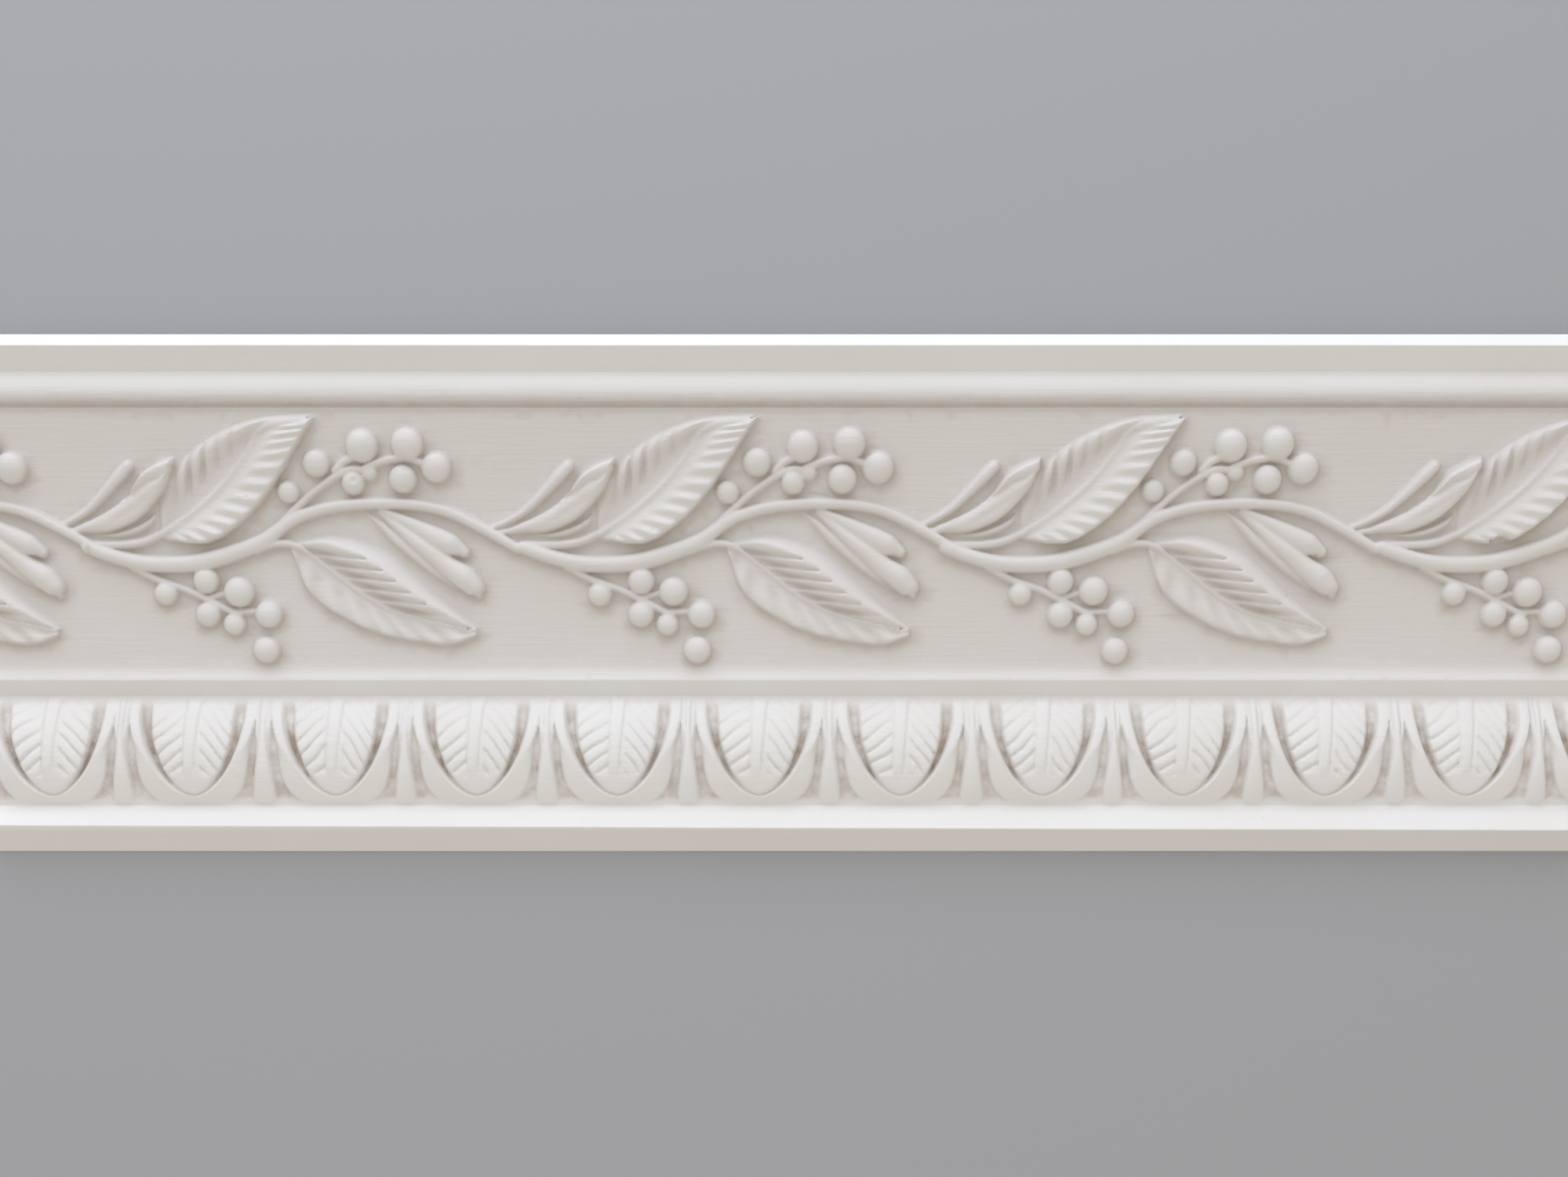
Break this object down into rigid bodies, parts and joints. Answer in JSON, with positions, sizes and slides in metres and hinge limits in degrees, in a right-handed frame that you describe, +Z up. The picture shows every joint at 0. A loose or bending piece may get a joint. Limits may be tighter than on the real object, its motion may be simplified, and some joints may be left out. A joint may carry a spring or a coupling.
{
  "type": "cornice moulding",
  "caption": "Straight run of enriched cornice: fascia, roll, frieze with leafy berried vine, leaf-and-dart band and foot fascia, for the corner of wall and ceiling.",
  "frame": {"origin": "middle of the flat bed that goes against the wall", "axes": "+X along the run, +Y into the wall, +Z up, so the enriched face looks to -Y and down"},
  "size_m": [0.488, 0.1369, 0.085],
  "materials": {
    "painted_plaster": "cast gypsum plaster under a thin coat of matt white paint"
  },
  "bodies": {
    "root": {"cornice_moulding": "painted_plaster"}
  },
  "joints": []
}
